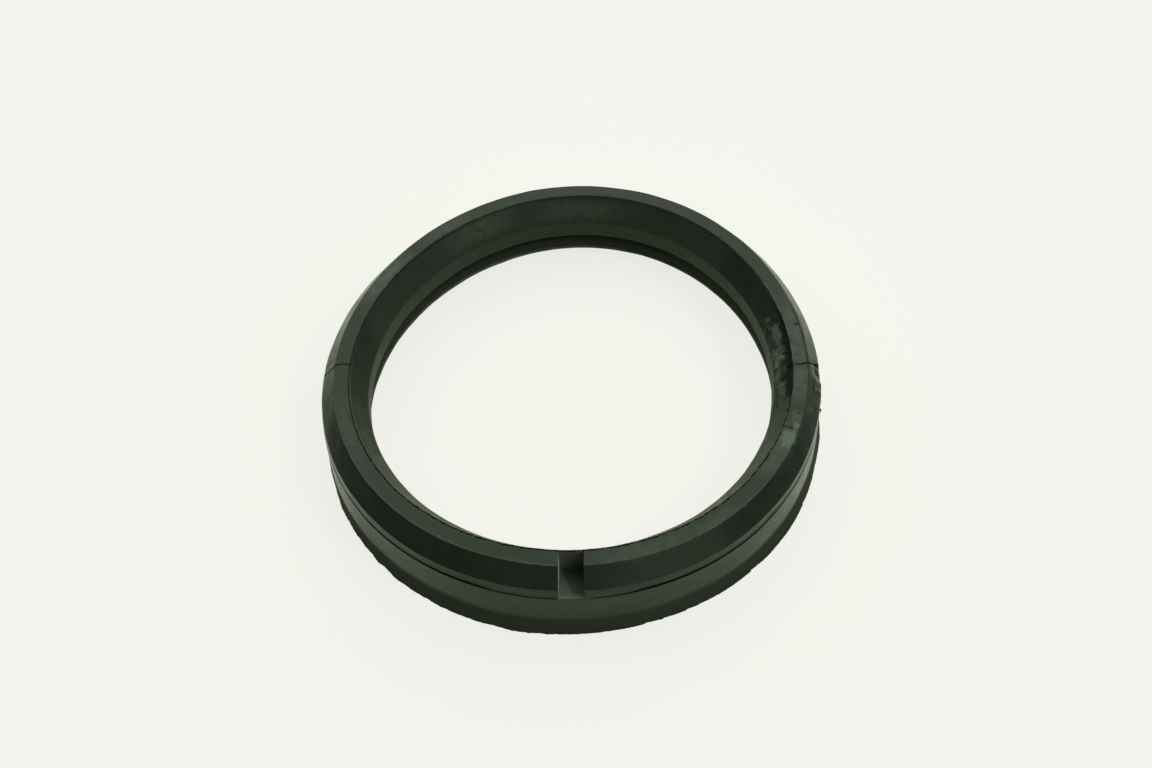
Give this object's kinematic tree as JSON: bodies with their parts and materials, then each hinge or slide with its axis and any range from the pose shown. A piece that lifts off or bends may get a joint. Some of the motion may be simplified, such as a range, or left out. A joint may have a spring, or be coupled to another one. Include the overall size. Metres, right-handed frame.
{
  "type": "headlight seal",
  "caption": "Round moulded rubber headlight seal: flat rim, flared outer cone, slit for a body panel, notch in the upper flange and a wide foot.",
  "frame": {"origin": "middle of the ring, on the plane that the foot stands on", "axes": "+Z along the ring's axis, from the foot up to the rim; the notch faces -Y"},
  "size_m": [0.1944, 0.1944, 0.0353],
  "materials": {
    "rubber": "satin"
  },
  "bodies": {
    "root": {"seal_ring": "rubber"}
  },
  "joints": []
}
